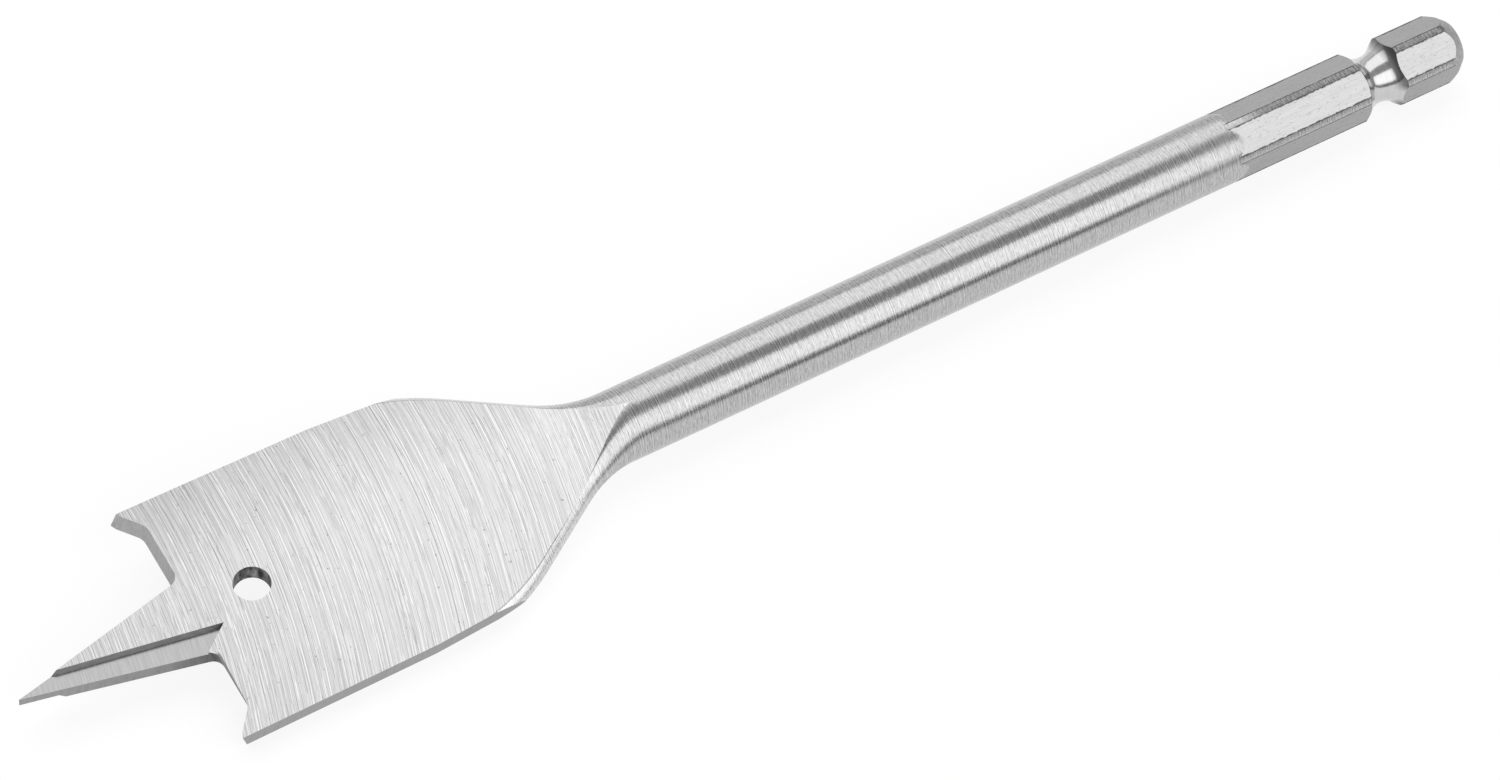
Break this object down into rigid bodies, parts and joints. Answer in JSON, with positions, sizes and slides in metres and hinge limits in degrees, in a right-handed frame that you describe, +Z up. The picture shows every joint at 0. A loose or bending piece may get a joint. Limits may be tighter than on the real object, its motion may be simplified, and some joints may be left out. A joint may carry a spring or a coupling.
{
  "type": "spade drill bit",
  "caption": "Flat spade bit for boring wood: long centre point, cutting wings with scoring spurs, hole in the blade, round shaft and hex quick-change shank.",
  "frame": {"origin": "middle of the length, under the shaft's axis, on the surface the bit lies on", "axes": "+X along the shaft, from the point to the shank; +Z up, with the bit lying on its shaft and on the edge of one wing"},
  "size_m": [0.1524, 0.0252, 0.007],
  "materials": {
    "steel": "bare ground steel, cross-ground blade and turned shaft"
  },
  "bodies": {
    "root": {"spade_bit": "steel"}
  },
  "joints": []
}
